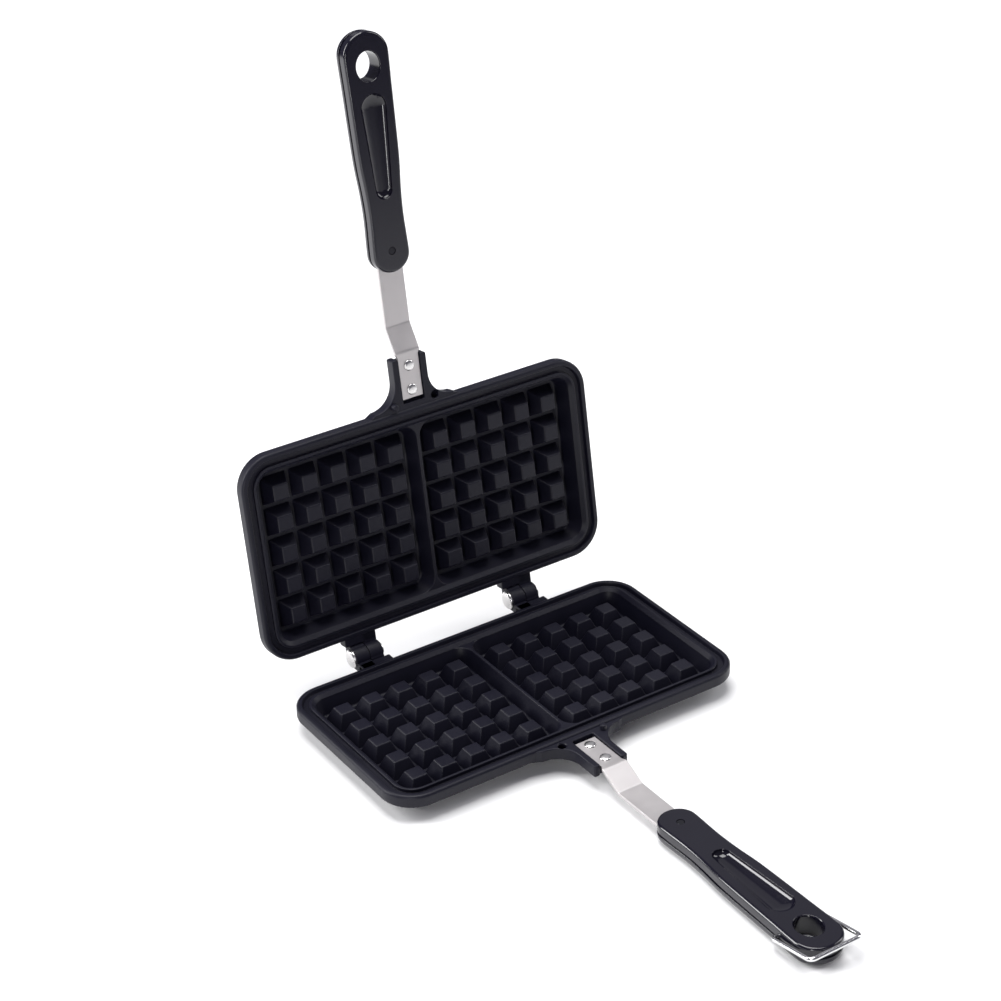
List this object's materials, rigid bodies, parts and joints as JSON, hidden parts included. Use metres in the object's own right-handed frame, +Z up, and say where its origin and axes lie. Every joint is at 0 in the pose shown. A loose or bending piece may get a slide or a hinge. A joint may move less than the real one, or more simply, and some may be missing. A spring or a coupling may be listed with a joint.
{
  "type": "stovetop waffle iron",
  "caption": "Hinged stovetop waffle iron with deep square grid plates, bent steel straps, black moulded handles and a wire bail, shown open on its hinge stop.",
  "frame": {"origin": "centre of the lower plate's flat underside", "axes": "+Z up out of the open lower plate, -Y out along the lower handle, +X along the hinge"},
  "size_m": [0.2338, 0.4302, 0.3685],
  "materials": {
    "coated_casting": "dark non-stick coating on cast aluminium",
    "brushed_steel": "satin rolled steel bar",
    "bright_steel": "bright plated pins and rivets",
    "gloss_handle": "glossy black moulded heat-proof plastic",
    "plated_wire": "bright plated spring wire"
  },
  "bodies": {
    "lower_half": {"lower_plate": "coated_casting", "lower_strap": "brushed_steel", "lower_inner_rivet": "bright_steel", "lower_outer_rivet": "bright_steel", "lower_handle": "gloss_handle", "lower_handle_pin": "bright_steel", "left_hinge_pin": "bright_steel", "left_hinge_cap": "bright_steel", "right_hinge_pin": "bright_steel", "right_hinge_cap": "bright_steel"},
    "upper_half": {"upper_plate": "coated_casting", "upper_strap": "brushed_steel", "upper_inner_rivet": "bright_steel", "upper_outer_rivet": "bright_steel", "upper_handle": "gloss_handle", "upper_handle_pin": "bright_steel"},
    "bail": {"handle_bail": "plated_wire"}
  },
  "joints": [
    {"name": "plate_hinge", "type": "hinge", "parent": "lower_half", "child": "upper_half", "pos_m": [0, 0.07518, 0.0155], "axis": [1, 0, 0], "range_deg": [0, 98.8]},
    {"name": "bail_swing", "type": "hinge", "parent": "lower_half", "child": "bail", "pos_m": [0, -0.2535, 0.0047], "axis": [-1, 0, 0], "range_deg": [0, 78.8]}
  ]
}
